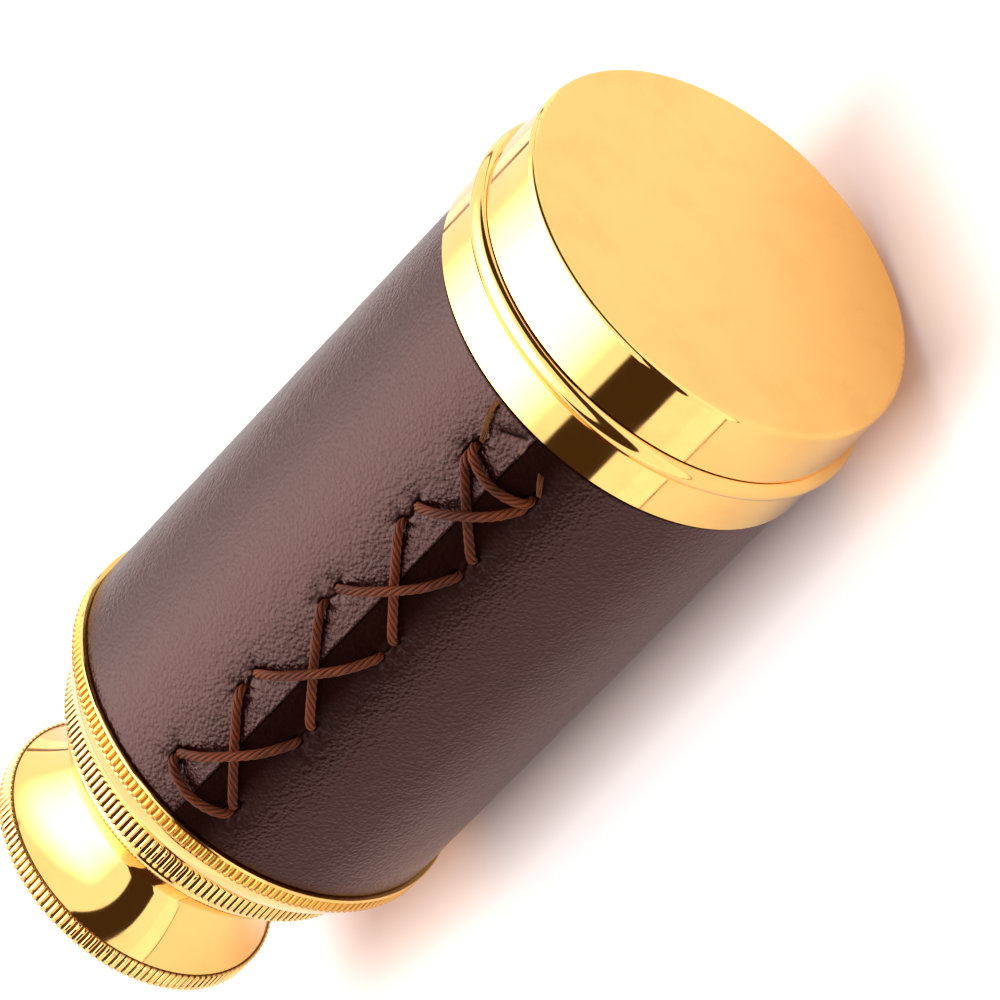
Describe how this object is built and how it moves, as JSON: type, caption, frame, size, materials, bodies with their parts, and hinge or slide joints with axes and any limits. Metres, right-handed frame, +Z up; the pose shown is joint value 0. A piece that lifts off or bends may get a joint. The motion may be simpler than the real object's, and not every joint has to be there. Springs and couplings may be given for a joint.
{
  "type": "spyglass",
  "caption": "Draw telescope with a laced leather barrel, sliding brass draws, a flared eyepiece and a slip-on cap; shut for the pocket and pulled out to view far things.",
  "frame": {"origin": "on the floor plane under the middle of the shut spyglass, which lies on its side", "axes": "+X along the optical axis toward the cap, +Z up, +Y to the left of the viewing direction"},
  "size_m": [0.1138, 0.0498, 0.0499],
  "materials": {
    "brass": "polished and lacquered",
    "inner_brass": "turned, not polished",
    "blackened_brass": "blackened, dull",
    "leather": "pebbled grain, waxed",
    "cord": "waxed and twisted",
    "glass": "polished"
  },
  "bodies": {
    "barrel": {"barrel_tube": "inner_brass", "leather_sleeve": "leather", "lacing": "cord", "objective_cell": "brass", "objective_crown_lens": "glass", "objective_flint_lens": "glass", "objective_retaining_ring": "inner_brass", "barrel_end_ring": "brass", "barrel_guide_bush": "inner_brass"},
    "cap": {"objective_cap": "brass"},
    "draw_1": {"draw_1_tube": "brass", "draw_1_stop_ring": "inner_brass", "draw_1_collar": "brass", "draw_1_guide_bush": "inner_brass"},
    "draw_2": {"draw_2_tube": "brass", "draw_2_stop_ring": "inner_brass", "draw_2_collar": "brass", "draw_2_guide_bush": "inner_brass"},
    "draw_3": {"draw_3_tube": "brass", "draw_3_stop_ring": "inner_brass", "erector_tube": "blackened_brass", "erector_retaining_ring": "inner_brass", "erector_front_lens": "glass", "erector_front_spacer": "blackened_brass", "erector_stop": "blackened_brass", "erector_rear_spacer": "blackened_brass", "erector_rear_lens": "glass", "eyepiece_tube": "blackened_brass", "eyepiece_retaining_ring": "inner_brass", "field_lens": "glass", "field_lens_spacer": "blackened_brass", "field_stop": "blackened_brass", "eye_lens_spacer": "blackened_brass", "eye_lens": "glass", "eyepiece_bell": "brass"}
  },
  "joints": [
    {"name": "draw_1_slide", "type": "slide", "parent": "barrel", "child": "draw_1", "axis": [-1, 0, 0], "range_m": [0, 0.0585]},
    {"name": "draw_2_slide", "type": "slide", "parent": "draw_1", "child": "draw_2", "axis": [-1, 0, 0], "range_m": [0, 0.0612]},
    {"name": "draw_3_slide", "type": "slide", "parent": "draw_2", "child": "draw_3", "axis": [-1, 0, 0], "range_m": [0, 0.0626]},
    {"name": "cap_slide", "type": "slide", "parent": "barrel", "child": "cap", "axis": [1, 0, 0], "range_m": [0, 0.03]}
  ]
}
